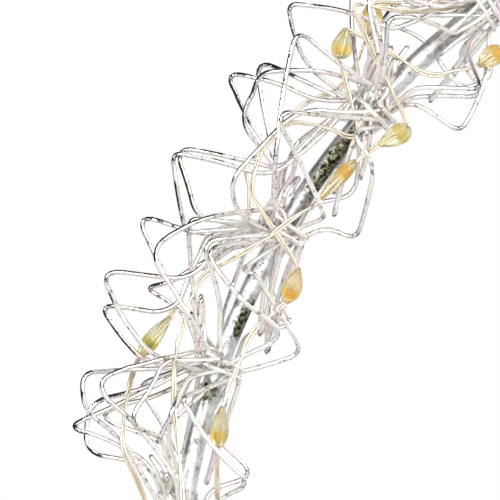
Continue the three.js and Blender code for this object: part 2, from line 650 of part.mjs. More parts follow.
function circuitBoard() {
  const back = KNOB_Y - GAP;
  const front = back - BOARD.thickness;
  const low = PARTITION + BOARD.clearance;
  const high = HALF - BOX.wall - BOARD.clearance;
  const board = slab(low, high, front, back, -BOARD.half, BOARD.half);
  return fromSolid(board.subtract(barAlongY(SCREW, front - CUT, back + CUT, BOARD.hole)));
}

// The upper cell and the lower one lie head to tail.
function batteryCell(row) {
  const side = row === 0 ? 1 : -1;
  const r = CELL.radius;
  const half = CELL.length / 2;
  const shoulder = half - NUB.length;
  const eased = r - CELL_EDGE.in;
  const profile = [[0, -half], [eased, -half], [r, -half + CELL_EDGE.along],
    [r, shoulder - CELL_EDGE.shoulder], [eased, shoulder], [NUB.radius, shoulder], [NUB.radius, half],
    [0, half]];
  const geometry = turned(profile, 16);
  geometry.rotateZ((-Math.PI / 2) * side);
  const middle = boxPoint(CELL_MIDDLE + side * CELL.towardsButton, CELL_Y, (row - 0.5) * CELL.pitch);
  return closedGeometry(geometry.translate(middle.x, middle.y, middle.z));
}

// A contact spring, on its plate: a cone standing in for the open coil.
function springContact(row) {
  const side = row === 0 ? -1 : 1;
  const wall = side > 0 ? CELL_BAY.high : CELL_BAY.low;
  const z = (row - 0.5) * CELL.pitch;
  const cellEnd = CELL_MIDDLE - side * CELL.towardsButton + side * (CELL.length / 2);
  const plateFace = wall - side * (PLATE.fromWall + PLATE.thickness);
  const length = Math.abs(plateFace - cellEnd) - GAP;
  const geometry = new THREE.CylinderGeometry(SPRING.tip, SPRING.root, length + JOIN, ROUND_SIDES);
  geometry.rotateZ((Math.PI / 2) * side);
  const at = boxPoint(plateFace - side * (length - JOIN) / 2, CELL_Y, z);
  const cone = solid(geometry.translate(at.x, at.y, at.z));
  return fromSolid(contactPlate(side, z).add(cone));
}

function contactPlate(side, z) {
  const wall = side > 0 ? CELL_BAY.high : CELL_BAY.low;
  const near = wall - side * PLATE.fromWall;
  const far = near - side * PLATE.thickness;
  const front = BOX.wall + PLATE.fromFront;
  const back = BASE_BACK - PLATE.fromBack;
  return slab(Math.min(near, far), Math.max(near, far), front, back, z - PLATE.half, z + PLATE.half);
}

function buttonContact(row) {
  const side = row === 0 ? 1 : -1;
  return fromSolid(contactPlate(side, (row - 0.5) * CELL.pitch));
}

// Grommet where the string leaves the box.
function stringGrommet() {
  const neck = GROMMET.inside + BOX.wall + GAP;
  const end = BOX.wall + GROMMET.reach;
  const profile = [[GROMMET.bore, 0], [GROMMET.neck, 0], [GROMMET.neck, neck], [GROMMET.flange, neck],
    [GROMMET.shoulder, end - GROMMET_TAPER], [GROMMET.tip, end], [GROMMET.bore, end], [GROMMET.bore, 0]];
  const geometry = turned(profile, ROUND_SIDES);
  geometry.rotateZ(-Math.PI / 2);
  const at = boxPoint(HALF - BOX.wall - GROMMET.inside, STRING_EXIT.y, STRING_EXIT.z);
  return closedGeometry(geometry.translate(at.x, at.y, at.z));
}

function ringRod() {
  const geometry = new THREE.TorusGeometry(RING_RADIUS, ROD_RADIUS, ROD_SIDES, ROD_STEPS);
  geometry.rotateX(Math.PI / 2);
  return closedGeometry(geometry.translate(0, 0, CENTRE_Z));
}

// Along a drop the string swells from its own radius to the drop's and back.
const DROP_PROFILE = [[0.12, 0.68], [0.42, 1], [0.8, 0.62]];
function withDrops(path) {
  const points = [path.points[0]];
  const radii = [STRING_RADIUS];
  path.radii.forEach((radius, i) => {
    const from = path.points[i];
    const to = path.points[i + 1];
    if (radius === DROP_RADIUS) {
      DROP_PROFILE.forEach(([share, size]) => {
        points.push(new THREE.Vector3().lerpVectors(from, to, share));
        radii.push(DROP_RADIUS * size);
      });
    }
    points.push(to);
    radii.push(STRING_RADIUS);
  });
  return { points, radii };
}

const wreath = new THREE.Group();
function addMesh(name, geometry, color, metalness, roughness) {
  const material = new THREE.MeshStandardMaterial({ metalness, roughness });
  material.color.setRGB(...color);
  const mesh = new THREE.Mesh(geometry, material);
  mesh.name = name;
  wreath.add(mesh);
}

const skeins = Array.from({ length: BAYS }, (unused, bay) => skeinPath(bay));
const lights = stringPath();
combOut([...skeins, lights]);

addMesh("ring_rod", ringRod(), STEEL, 1, 0.35);
skeins.forEach((path, bay) => {
  const name = `wire_skein_${String(bay + 1).padStart(2, "0")}`;
  const radii = path.points.map(() => WIRE_CORNER);
  addMesh(name, bentTube(path.points, radii, 3), SILVER, 1, 0.25);
});
const dropped = withDrops(lights);
addMesh("light_string", bentTube(dropped.points, dropped.radii, 3), STRING_CREAM, 0.2, 0.4);
addMesh("case_base", caseBase(), PLASTIC, 0, 0.5);
addMesh("battery_cover", batteryCover(), PLASTIC, 0, 0.5);
addMesh("board_cover", boardCover(), PLASTIC, 0, 0.5);
addMesh("cover_screw", coverScrew(), NICKEL, 1, 0.3);
addMesh("switch_knob", switchKnob(), KNOB_BLACK, 0, 0.5);
addMesh("circuit_board", circuitBoard(), BOARD_GREEN, 0, 0.5);
addMesh("string_grommet", stringGrommet(), RUBBER, 0, 0.6);
[0, 1].forEach((row) => {
  addMesh(`battery_${row + 1}`, batteryCell(row), SLEEVE, 0.6, 0.35);
  addMesh(`spring_contact_${row + 1}`, springContact(row), NICKEL, 1, 0.3);
  addMesh(`button_contact_${row + 1}`, buttonContact(row), NICKEL, 1, 0.3);
});

export default wreath;
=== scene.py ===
"""Wreath frame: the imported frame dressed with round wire, a twin-wire light string and finished materials.

The wire and string routes are read back from the frame's own plain tubes, so the fine wire follows the
design, with slack wire added at the knots. Lengths are in metres, +Z up, the front of the wreath towards -Y.
"""
import math
import random

import bmesh
import bpy
import numpy as np
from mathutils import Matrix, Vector


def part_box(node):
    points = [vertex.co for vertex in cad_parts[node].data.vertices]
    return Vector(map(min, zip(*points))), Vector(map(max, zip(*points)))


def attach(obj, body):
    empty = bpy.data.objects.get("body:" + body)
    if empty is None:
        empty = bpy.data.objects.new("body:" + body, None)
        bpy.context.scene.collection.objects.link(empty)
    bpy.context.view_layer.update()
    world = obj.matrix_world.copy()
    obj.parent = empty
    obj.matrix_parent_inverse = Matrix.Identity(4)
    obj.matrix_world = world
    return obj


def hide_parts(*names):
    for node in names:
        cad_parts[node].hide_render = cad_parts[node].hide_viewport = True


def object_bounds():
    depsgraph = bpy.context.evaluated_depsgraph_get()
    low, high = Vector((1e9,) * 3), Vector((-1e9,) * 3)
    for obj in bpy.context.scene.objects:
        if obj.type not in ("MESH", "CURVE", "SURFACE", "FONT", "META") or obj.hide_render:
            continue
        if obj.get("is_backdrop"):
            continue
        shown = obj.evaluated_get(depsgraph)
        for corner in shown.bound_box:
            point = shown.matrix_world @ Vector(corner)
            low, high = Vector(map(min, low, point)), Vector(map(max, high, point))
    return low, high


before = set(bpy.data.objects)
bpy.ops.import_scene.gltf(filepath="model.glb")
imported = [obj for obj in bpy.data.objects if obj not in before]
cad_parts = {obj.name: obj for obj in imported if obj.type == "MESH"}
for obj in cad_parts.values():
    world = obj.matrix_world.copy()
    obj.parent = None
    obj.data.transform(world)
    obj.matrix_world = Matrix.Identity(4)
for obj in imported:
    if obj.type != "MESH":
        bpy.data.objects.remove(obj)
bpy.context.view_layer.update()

MM = 0.001

# Stands in for a length of zero where one is divided by
TINY = 1e-12

# The frame's plain tubes: how many sides they have, and the decimals to which their corners are compared
TUBE_SIDES = 3
CORNER_DECIMALS = 6

# Wire: a bend's reach is how far from its corner it starts, and no bend takes more than a share of its legs
WIRE_RADIUS = 0.55 * MM
WIRE_SIDES = 8
LEG_STEP = 2.2 * MM
LEG_BOW = 0.06
BEND_STEPS = 6
TIGHT_BEND = (1.6 * MM, 3.4 * MM)
WIDE_BEND = (4.0 * MM, 10.0 * MM)
BEND_LEG_SHARE = 0.48
BEND_FULLNESS = 0.66
SHORT_LEG = 8.5 * MM

# Share of wide bends beyond and within this distance from the rod's centreline
OUTSIDE = 14 * MM
WIDE_OUTSIDE = 0.8
WIDE_INSIDE = 0.35

# How far a bend's middle lies inside its corner, as a share of its reach
BEND_CUT = (1 - 0.75 * BEND_FULLNESS) / 2

# Painted shade: tight bends get dark patches, more so far from the rod, and the outer loops get a dark band
# on the half that faces away from the ring
SHARP_FROM = 0.1
SHARP_GAIN = 2.5
SHARP_BLUR = (0.25, 0.5, 0.25)
SHARP_AT_ROD = 0.2
DARK_SIDE_FROM = 15 * MM
DARK_SIDE_FULL = 20 * MM
DARK_SIDE_EDGE = 0.3

# Haze: full up to the first distance from the rod's centreline, none past the second
DULL_FULL = 9 * MM
DULL_NONE = 18 * MM

# Knots: each skein's wire ends in slack hairpins, a wrap round the rod and a cut tail
WRAP_POINTS = 7
WRAP_TURNS = 1.35
WRAP_TURN_STEPS = 16
WRAP_RADIUS = 5.5 * MM
WRAP_WANDER = 0.2 * MM
WRAP_PITCH = 2.2 * MM
TAIL_FLARE = 0.5
TAIL_LENGTH = (2 * MM, 5 * MM)
CUT_END = 0.8

# Hairpins: how many a knot has, how far along, out and back their tips lie, and how far along and round the
# rod they start
HAIRPINS = (4, 5)
HAIRPIN_BASE = 4.4 * MM
SLACK_LENGTH = (7 * MM, 15 * MM)
SLACK_OUT = (3 * MM, 12 * MM)
SLACK_BACK = (-8 * MM, 3 * MM)
SLACK_SHIFT = (-1 * MM, 2 * MM)
SLACK_TURN = (-2.6, 0.6)
PASS_LENGTH = (14 * MM, 31 * MM)
PASS_OUT = (-10 * MM, 12 * MM)
PASS_BACK = (-2 * MM, 12 * MM)
PASS_SHIFT = (-1 * MM, 1 * MM)
PASS_TURN = (-3, 0.6)

# A slack hairpin's crinkles: places on the way out and on the way back, and how far off the line they lie
CRINKLES_OUT = (0.35, 0.7)
CRINKLES_BACK = (0.6, 0.25)
CRINKLE = 0.7 * MM

# Picked by search: of 32 seeds tried, this one's slack wire came closest to how the real wire fills the view
SKEIN_SEED = 8

# Skeins whose knot is within this angle of the battery box have no slack wire, so they clear it
BOX_SPAN = math.radians(15)

# Light string: two strands side by side, which turn round each other now faster, now slower
STRAND_RADIUS = 0.31 * MM
STRAND_OFFSET = 0.33 * MM
STRAND_SIDES = 6
STRAND_TURN = 30 * MM
STRAND_SWAY = 1.5
STRAND_SWAY_LENGTH = 17 * MM
STRING_BEND = (2 * MM, 6 * MM)
STRING_LEG_SHARE = 0.4
STRING_DROP_SHARE = 0.12
STRING_DROP_POINTS = (0.25, 0.5, 0.75)

# Resin drops: wire routes are thinner than DROP_CORE and drops are thicker
DROP_CORE = 1.2 * MM
DROP_RADIUS = (2.1 * MM, 2.4 * MM)
DROP_LENGTH = 8.7 * MM
DROP_THINNING = 0.8
DROP_NECK = 0.24
DROP_SKEW = (0.60, 0.95)
DROP_SAG = (0.1 * MM, 0.45 * MM)
DROP_TURNED = 0.5
DROP_STEPS = 22
DROP_SIDES = 20
CLOUD_PLACE = 0.30
CLOUD_HALF = 0.15
CHIP_LENGTH = 1.6 * MM
CHIP_RADIUS = 0.75 * MM
CHIP_SIDES = 4
CHIP_SAG = 0.8

# Picked by search: the first seed found that points and tints the seven drops in view as they should be
DROP_SEED = 167354

# Cells: how much of each end the sleeve leaves bare, from where the longer of the two ends
BARE_END = 4.6 * MM
SLEEVE_EDGE = 0.2 * MM

# Spring contacts: the coil starts off the plate, narrows towards the cell, and stops just short of it
COIL_TURNS = 4
COIL_TURN_STEPS = 24
COIL_BASE_RADIUS = 3.4 * MM
COIL_TAPER = 1.6 * MM
COIL_WIRE = 0.25 * MM
COIL_SIDES = 8
COIL_START = 0.75 * MM
COIL_SHORTER = 0.7 * MM
COIL_SHARE = 0.93
PLATE_THICKNESS = 0.5 * MM
PLATE_BEVEL = 0.12 * MM

# Carried-over nodes: corners this close are merged, and edges sharper than the angle are eased
MERGE_REACH = 0.002 * MM
HARD_EDGE = math.radians(35)
EASE_SEGMENTS = 2

# Rod: a hair uneven, with a weld bead
ROD_STEPS = 480
ROD_SIDES = 24
SWELLS = 6
SWELL_COUNT = (9, 40)
SWELL_SHIFT = (0, 6.3)
SWELL_SIZE = (0.01 * MM, 0.025 * MM)
WELD_ANGLE = math.radians(-52)
WELD_HEIGHT = 0.35 * MM
WELD_WIDTH = 1.6 * MM
WELD_RIPPLES = 5
WELD_RIPPLE = 0.3
MARK_WIDTH = 0.85
STRAY_STAINS = 10
STRAY_TARNISH = 14
STRAY_LENGTH = (4 * MM, 14 * MM)

# The power that gives a mark or a cloud its flat middle and soft edge
FLAT_MIDDLE = 4

# Painted dark reflection on the rod's front face, as dark olive blots and as smooth grey-brown bands: place
# round the ring in degrees, half length, and side of the rod in degrees
ROD_DARK_REFLECTIONS = [
    (142.5, 13 * MM, 250),
    (156.5, 5 * MM, 230),
    (162.5, 3 * MM, 280),
]
ROD_REFLECTION_BANDS = [
    (130.5, 5 * MM, 265),
    (148, 8 * MM, 235),
]


# ---------------------------------------------------------------- reading routes from the frame

def welded(node):
    """Corner positions of a CAD node with doubles merged, and each one's neighbours."""
    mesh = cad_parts[node].data
    corners = np.array([v.co for v in mesh.vertices])
    merged, index = np.unique(np.round(corners, CORNER_DECIMALS), axis=0, return_inverse=True)
    index = index.ravel()
    near = [set() for _ in merged]
    for edge in mesh.edges:
        a, b = index[edge.vertices[0]], index[edge.vertices[1]]
        if a != b:
            near[a].add(b)
            near[b].add(a)
    return merged, near


def tube_route(node):
    """Centre and radius of every section of a plain tube, walked from one end cap to the other."""
    corners, near = welded(node)
    cap = next(i for i, others in enumerate(near) if len(others) == TUBE_SIDES)
    seen = {cap}
    level = sorted(near[cap])
    centres, radii = [], []
    while level:
        seen.update(level)
        section = corners[level]
        if len(level) > 1:
            centre = section.mean(axis=0)
            centres.append(centre)
            radii.append(np.linalg.norm(section - centre, axis=1).mean())
        level = sorted({n for i in level for n in near[i]} - seen)
    return np.array(centres), np.array(radii)


rod_low, rod_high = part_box("ring_rod")
ROD_RADIUS = (rod_high.y - rod_low.y) / 2
RING_RADIUS = (rod_high.x - rod_low.x) / 2 - ROD_RADIUS
CENTRE = (rod_low + rod_high) / 2


def rod_distance(points):
    """How far points lie from the rod's centreline."""
    local = points - np.array(CENTRE)
    out = np.hypot(local[:, 0], local[:, 2]) - RING_RADIUS
    return np.hypot(out, local[:, 1])


# ---------------------------------------------------------------- mesh building

# Any direction that no wire starts along
FIRST_SIDE = (0.31, 0.52, 0.79)


def unit(vector):
    return vector / max(np.linalg.norm(vector), TINY)


def random_side(along, rng):
    """A random unit vector square to a direction."""
    return unit(np.cross(along, [rng.gauss(0, 1) for _ in range(3)]))


def rounded_route(points, rng):
    """A bent wire's centreline: legs bow a little, and each bend is eased over a tight or a wide arc."""
    legs = np.linalg.norm(np.diff(points, axis=0), axis=1)
    far = rod_distance(points)
    reaches = np.zeros(len(points))
    corners = points.copy()
    for i in range(1, len(points) - 1):
        share = WIDE_OUTSIDE if far[i] > OUTSIDE else WIDE_INSIDE
        looped = min(legs[i - 1], legs[i]) < SHORT_LEG
        span = WIDE_BEND if rng.random() < share or looped else TIGHT_BEND
        reaches[i] = min(rng.uniform(*span), BEND_LEG_SHARE * legs[i - 1], BEND_LEG_SHARE * legs[i])
        pull = unit(points[i] - points[i - 1]) - unit(points[i + 1] - points[i])
        corners[i] += BEND_CUT * reaches[i] * pull
    route = [points[0]]
    start = points[0]
    for i in range(1, len(points) - 1):
        into = corners[i] - reaches[i] * unit(corners[i] - corners[i - 1])
        away = corners[i] + reaches[i] * unit(corners[i + 1] - corners[i])
        route += bowed_leg(start, into, rng)
        route += eased_bend(into, corners[i], away)
        start = away
    route += bowed_leg(start, points[-1], rng)
    route.append(points[-1])
    return np.array(route)


def eased_bend(into, corner, away):
    """Points round a bend, from where the wire leaves one leg to where it joins the next."""
    first = into + BEND_FULLNESS * (corner - into)
    second = away + BEND_FULLNESS * (corner - away)
    steps = [k / BEND_STEPS for k in range(BEND_STEPS + 1)]
    return [
        (1 - t) ** 3 * into + 3 * t * (1 - t) ** 2 * first + 3 * t * t * (1 - t) * second + t ** 3 * away
        for t in steps
    ]


def bowed_leg(start, end, rng):
    """Points between two bends, ends left out."""
    length = np.linalg.norm(end - start)
    count = int(length / LEG_STEP)
    bow = random_side(end - start, rng) * length * LEG_BOW * rng.uniform(-1, 1)
    return [
        start + (end - start) * t + bow * 4 * t * (1 - t)
        for t in (k / count for k in range(1, count))
    ]


def normals_along(route):
    """Two unit normals at each route point, without twist."""
    tangents = np.gradient(route, axis=0)
    tangents /= np.linalg.norm(tangents, axis=1)[:, None]
    side = unit(np.cross(tangents[0], FIRST_SIDE))
    sides = []
    for tangent in tangents:
        side = unit(side - tangent * np.dot(side, tangent))
        sides.append(side)
    sides = np.array(sides)
    return sides, np.cross(tangents, sides)


def sweep(route, radii, sides):
    """Vertices and faces of a closed round tube."""
    u, v = normals_along(route)
    angles = np.arange(sides) * 2 * math.pi / sides
    ring = np.cos(angles)[:, None, None] * u + np.sin(angles)[:, None, None] * v
    points = route + ring * np.broadcast_to(radii, len(route))[:, None]
    vertices = points.transpose(1, 0, 2).reshape(-1, 3)
    faces = []
    for i in range(len(route) - 1):
        a, b = i * sides, (i + 1) * sides
        for k in range(sides):
            n = (k + 1) % sides
            faces.append((a + k, a + n, b + n, b + k))
    last = (len(route) - 1) * sides
    faces.append(tuple(range(sides - 1, -1, -1)))
    faces.append(tuple(last + k for k in range(sides)))
    return vertices, faces


def bend_sharpness(route):
    """How sharply the wire bends at each point, from 0 on an easy bend to 1 on a tight one."""
    steps = np.linalg.norm(np.diff(route, axis=0), axis=1)
    tangents = np.diff(route, axis=0) / steps[:, None]
    turn = np.linalg.norm(np.diff(tangents, axis=0), axis=1)
    sharp = np.zeros(len(route))
    sharp[1:-1] = turn / ((steps[1:] + steps[:-1]) / 2) * WIRE_RADIUS
    eased = np.convolve(sharp, SHARP_BLUR, "same")
    return np.clip((eased - SHARP_FROM) * SHARP_GAIN, 0, 1)


def painted_dark_side(vertices, sides):
    """How much painted shade each vertex of a wire gets: the outer loops are painted dark on the half that
    faces away from the ring.
    """
    middles = np.repeat(vertices.reshape(-1, sides, 3).mean(axis=1), sides, axis=0)
    local = (middles - np.array(CENTRE))[:, [0, 2]]
    reach = np.linalg.norm(local, axis=1)
    side = (vertices - middles)[:, [0, 2]] / WIRE_RADIUS
    away = (side * local).sum(axis=1) / reach
    outer = (reach - RING_RADIUS - DARK_SIDE_FROM) / (DARK_SIDE_FULL - DARK_SIDE_FROM)
    return np.clip(outer, 0, 1) * np.clip((away + DARK_SIDE_EDGE) / (2 * DARK_SIDE_EDGE), 0, 1)


class Pile:
    """Collects swept parts that become one mesh, with named numbers on each vertex."""

    def __init__(self, *names):
        self.vertices = []
        self.faces = []
        self.columns = {name: [] for name in names}
        self.count = 0

    def add(self, vertices, faces, *values):
        self.vertices.append(vertices)
        self.faces += [tuple(i + self.count for i in face) for face in faces]
        for column, value in zip(self.columns.values(), values):
            column.append(np.broadcast_to(value, len(vertices)))
        self.count += len(vertices)

    def build(self, name, material):
        mesh = bpy.data.meshes.new(name)
        mesh.from_pydata(np.vstack(self.vertices).tolist(), [], self.faces)
        mesh.polygons.foreach_set("use_smooth", [True] * len(mesh.polygons))
        for key, column in self.columns.items():
            layer = mesh.attributes.new(key, "FLOAT", "POINT")
            layer.data.foreach_set("value", np.concatenate(column).astype(np.float32))
        mesh.materials.append(material)
        piece = bpy.data.objects.new(name, mesh)
        bpy.context.scene.collection.objects.link(piece)
        return piece


# ---------------------------------------------------------------- materials

# How much darker clouded plastic and worn plating are, and how much rougher the plating
CLOUD_SHADE = 0.93
WEAR_SHADE = 0.6
WEAR_ROUGHNESS = 0.15


def new_material(name):
    material = bpy.data.materials.new(name)
    material.use_nodes = True
    nodes = material.node_tree.nodes
    return material, nodes, material.node_tree.links, nodes["Principled BSDF"]


def noise(nodes, links, scale, detail=4.0, roughness=0.55):
    """Noise in the object's own coordinates, its scale in features per metre."""
    place = nodes.new("ShaderNodeTexCoord")
    made = nodes.new("ShaderNodeTexNoise")
    made.inputs["Scale"].default_value = scale
    made.inputs["Detail"].default_value = detail
    made.inputs["Roughness"].default_value = roughness
    links.new(place.outputs["Object"], made.inputs["Vector"])
    return made


def ramp(nodes, links, source, stops):
    made = nodes.new("ShaderNodeValToRGB")
    while len(made.color_ramp.elements) < len(stops):
        made.color_ramp.elements.new(0.5)
    for element, (position, colour) in zip(made.color_ramp.elements, stops):
        element.position = position
        element.color = (*colour, 1)
    links.new(source, made.inputs["Fac"])
    return made


def remap(nodes, links, source, low, high, from_low=0.3, from_high=0.7):
    made = nodes.new("ShaderNodeMapRange")
    made.inputs["From Min"].default_value = from_low
    made.inputs["From Max"].default_value = from_high
    made.inputs["To Min"].default_value = low
    made.inputs["To Max"].default_value = high
    links.new(source, made.inputs["Value"])
    return made


def bump(nodes, links, shader, height, strength, distance):
    made = nodes.new("ShaderNodeBump")
    made.inputs["Strength"].default_value = strength
    made.inputs["Distance"].default_value = distance
    links.new(height, made.inputs["Height"])
    links.new(made.outputs["Normal"], shader.inputs["Normal"])


def attribute(nodes, name):
    """The number that a Pile put on each vertex."""
    made = nodes.new("ShaderNodeAttribute")
    made.attribute_name = name
    return made.outputs["Fac"]


def math_node(nodes, links, operation, first, second):
    """Two numbers combined and clamped to 0..1."""
    made = nodes.new("ShaderNodeMath")
    made.operation = operation
    made.use_clamp = True
    links.new(first, made.inputs[0])
    links.new(second, made.inputs[1])
    return made.outputs[0]


def mix(nodes, links, factor, first, second, blend="MIX"):
    made = nodes.new("ShaderNodeMix")
    made.data_type = "RGBA"
    made.blend_type = blend
    if isinstance(factor, float):
        made.inputs["Factor"].default_value = factor
    else:
        links.new(factor, made.inputs["Factor"])
    links.new(first, made.inputs["A"])
    links.new(second, made.inputs["B"])
    return made.outputs["Result"]


def silver_wire():
    """Plated wire: faint rose, green and cream tints and scuffs, hazed near the rod, with painted shade at
    tight bends and on the outer half of the outer loops.
    """
    material, nodes, links, shader = new_material("silver_wire")
    hazed = remap(nodes, links, attribute(nodes, "dull"), low=1.0, high=0.60, from_low=0.0, from_high=1.0)
    links.new(hazed.outputs["Result"], shader.inputs["Metallic"])
    tint = noise(nodes, links, scale=90, detail=2.0)
    tints = ramp(nodes, links, tint.outputs["Fac"], [
        (0.30, (0.95, 0.82, 0.87)), (0.42, (0.95, 0.91, 0.90)), (0.50, (0.93, 0.93, 0.89)),
        (0.58, (0.97, 0.91, 0.83)), (0.70, (0.91, 0.86, 0.93))])
    scuff = noise(nodes, links, scale=800, detail=6.0, roughness=0.65)
    scuffs = ramp(nodes, links, scuff.outputs["Fac"], [
        (0.36, (0.05, 0.045, 0.045)), (0.43, (0.95, 0.95, 0.95)), (0.60, (1, 1, 1))])
    plated = mix(nodes, links, 0.8, tints.outputs["Color"], scuffs.outputs["Color"], "MULTIPLY")
    patch = noise(nodes, links, scale=2600, detail=5.0, roughness=0.7)
    spots = remap(nodes, links, patch.outputs["Fac"], low=0.0, high=4.0, from_low=0.48, from_high=0.60)
    stretch = noise(nodes, links, scale=110, detail=3.0, roughness=0.6)
    stretches = remap(nodes, links, stretch.outputs["Fac"], low=0.0, high=1.1, from_low=0.41, from_high=0.54)
    # Painted shade: dark patches at tight bends, broken up by noise
    bend_shade = math_node(nodes, links, "MULTIPLY", attribute(nodes, "bend"), spots.outputs["Result"])
    # Painted shade: a ragged dark band on the half of the outer loops that faces away from the ring
    dark_side_mask = math_node(nodes, links, "MULTIPLY", attribute(nodes, "dark_side_shade"), stretches.outputs["Result"])
    ragged = remap(nodes, links, patch.outputs["Fac"], low=-0.3, high=0.3)
    edge = math_node(nodes, links, "ADD", dark_side_mask, ragged.outputs["Result"])
    dark_edge_shade = remap(nodes, links, edge, low=0.0, high=1.0, from_low=0.48, from_high=0.64)
    # All painted shade on the wire, mixed towards the near-black colour below
    painted_shade = math_node(nodes, links, "MAXIMUM", bend_shade, dark_edge_shade.outputs["Result"])
    dark = nodes.new("ShaderNodeRGB")
    dark.outputs[0].default_value = (0.035, 0.030, 0.032, 1)
    colour = mix(nodes, links, painted_shade, plated, dark.outputs[0])
    links.new(colour, shader.inputs["Base Color"])
    rough = remap(nodes, links, scuff.outputs["Fac"], low=0.16, high=0.06)
    links.new(rough.outputs["Result"], shader.inputs["Roughness"])
    bump(nodes, links, shader, scuff.outputs["Fac"], strength=0.25, distance=0.05 * MM)
    return material


def galvanised_rod():
    """Zinc-coated steel: bright grey spangle, grey-brown bands and olive and black blots that are stray
    tarnish and stains in places and painted dark reflection on the rod's front, pits, an uneven face.
    """
    material, nodes, links, shader = new_material("galvanised_rod")
    shader.inputs["Metallic"].default_value = 1.0
    spangle = noise(nodes, links, scale=330, detail=6.0, roughness=0.7)
    spangles = ramp(nodes, links, spangle.outputs["Fac"], [
        (0.32, (0.38, 0.385, 0.39)), (0.46, (0.68, 0.69, 0.705)), (0.60, (0.88, 0.895, 0.92))])
    grain = noise(nodes, links, scale=800, detail=5.0, roughness=0.7)
    ragged = remap(nodes, links, grain.outputs["Fac"], low=-0.4, high=0.4)
    # Dark olive blots: stray stains, and painted dark reflection where the listed marks lie on the rod's
    # front
    reach = math_node(nodes, links, "ADD", attribute(nodes, "stain_and_reflection"), ragged.outputs["Result"])
    stain_and_reflection_depth = remap(nodes, links, reach, low=0.0, high=1.0, from_low=0.35, from_high=0.62)
    fleck = noise(nodes, links, scale=1200, detail=6.0, roughness=0.7)
    blot = ramp(nodes, links, fleck.outputs["Fac"], [
        (0.42, (0.010, 0.010, 0.008)), (0.48, (0.07, 0.07, 0.04)), (0.54, (0.19, 0.19, 0.115)),
        (0.64, (0.42, 0.43, 0.38))])
    # Grey-brown bands: stray tarnish, and painted dark reflection where the listed bands lie on the rod's
    # front
    brushed = noise(nodes, links, scale=700, detail=4.0, roughness=0.6)
    dull = ramp(nodes, links, brushed.outputs["Fac"], [
        (0.35, (0.14, 0.12, 0.115)), (0.50, (0.30, 0.27, 0.26)), (0.62, (0.50, 0.48, 0.47))])
    pit = noise(nodes, links, scale=1500, detail=3.0, roughness=0.6)
    pits = ramp(nodes, links, pit.outputs["Fac"], [
        (0.34, (0.15, 0.14, 0.12)), (0.41, (1, 1, 1)), (0.8, (1, 1, 1))])
    zinc = mix(nodes, links, 0.9, spangles.outputs["Color"], pits.outputs["Color"], "MULTIPLY")
    banded = mix(nodes, links, attribute(nodes, "tarnish_and_reflection"), zinc, dull.outputs["Color"])
    colour = mix(nodes, links, stain_and_reflection_depth.outputs["Result"], banded, blot.outputs["Color"])
    links.new(colour, shader.inputs["Base Color"])
    rough = remap(nodes, links, grain.outputs["Fac"], low=0.46, high=0.28)
    links.new(rough.outputs["Result"], shader.inputs["Roughness"])
    bump(nodes, links, shader, spangle.outputs["Fac"], strength=0.5, distance=0.12 * MM)
    return material


def string_wire():
    """Lacquered wire pair: pale cream with a silvery sheen under the lacquer."""
    material, nodes, links, shader = new_material("string_wire")
    shade = noise(nodes, links, scale=120, detail=3.0)
    shades = ramp(nodes, links, shade.outputs["Fac"], [
        (0.3, (0.80, 0.68, 0.48)), (0.5, (0.87, 0.78, 0.62)), (0.7, (0.82, 0.77, 0.68))])
    links.new(shades.outputs["Color"], shader.inputs["Base Color"])
    shader.inputs["Metallic"].default_value = 0.8
    rough = remap(nodes, links, shade.outputs["Fac"], low=0.16, high=0.30)
    links.new(rough.outputs["Result"], shader.inputs["Roughness"])
    shader.inputs["Coat Weight"].default_value = 0.6
    shader.inputs["Coat Roughness"].default_value = 0.12
    return material


def drop_resin():
    """Clear cured resin, pale straw to amber, clouded golden by the phosphor in each drop's widest part."""
    material, nodes, links, shader = new_material("drop_resin")
    amber = attribute(nodes, "amber")
    clear = ramp(nodes, links, amber, [
        (0.0, (0.97, 0.96, 0.66)), (0.5, (0.98, 0.92, 0.68)), (1.0, (0.98, 0.85, 0.52))])
    golden = ramp(nodes, links, amber, [
        (0.0, (0.62, 0.58, 0.04)), (0.3, (1.0, 0.80, 0.24)), (0.7, (1.0, 0.66, 0.07))])
    wave = noise(nodes, links, scale=500, detail=2.0)
    speck = noise(nodes, links, scale=1800, detail=4.0, roughness=0.7)
    strength = remap(nodes, links, speck.outputs["Fac"], low=0.75, high=1.0)
    cloudy = math_node(nodes, links, "MULTIPLY", attribute(nodes, "layer"), strength.outputs["Result"])
    colour = mix(nodes, links, cloudy, clear.outputs["Color"], golden.outputs["Color"])
    links.new(colour, shader.inputs["Base Color"])
    shader.inputs["Transmission Weight"].default_value = 0.8
    shader.inputs["IOR"].default_value = 1.5
    rough = remap(nodes, links, cloudy, low=0.06, high=0.5, from_low=0.0, from_high=1.0)
    links.new(rough.outputs["Result"], shader.inputs["Roughness"])
    bump(nodes, links, shader, wave.outputs["Fac"], strength=0.3, distance=0.2 * MM)
    return material


def phosphor():
    """The light chip under its phosphor, greenish straw in pale drops and golden in amber ones."""
    material, nodes, links, shader = new_material("phosphor")
    golden = ramp(nodes, links, attribute(nodes, "amber"), [
        (0.0, (0.45, 0.44, 0.06)), (0.3, (0.95, 0.76, 0.24)), (0.7, (1.0, 0.62, 0.08))])
    grain = noise(nodes, links, scale=2500, detail=4.0)
    shade = ramp(nodes, links, grain.outputs["Fac"], [(0.3, (0.80, 0.76, 0.66)), (0.6, (1, 1, 1))])
    colour = mix(nodes, links, 0.8, golden.outputs["Color"], shade.outputs["Color"], "MULTIPLY")
    links.new(colour, shader.inputs["Base Color"])
    shader.inputs["Roughness"].default_value = 0.5
    return material


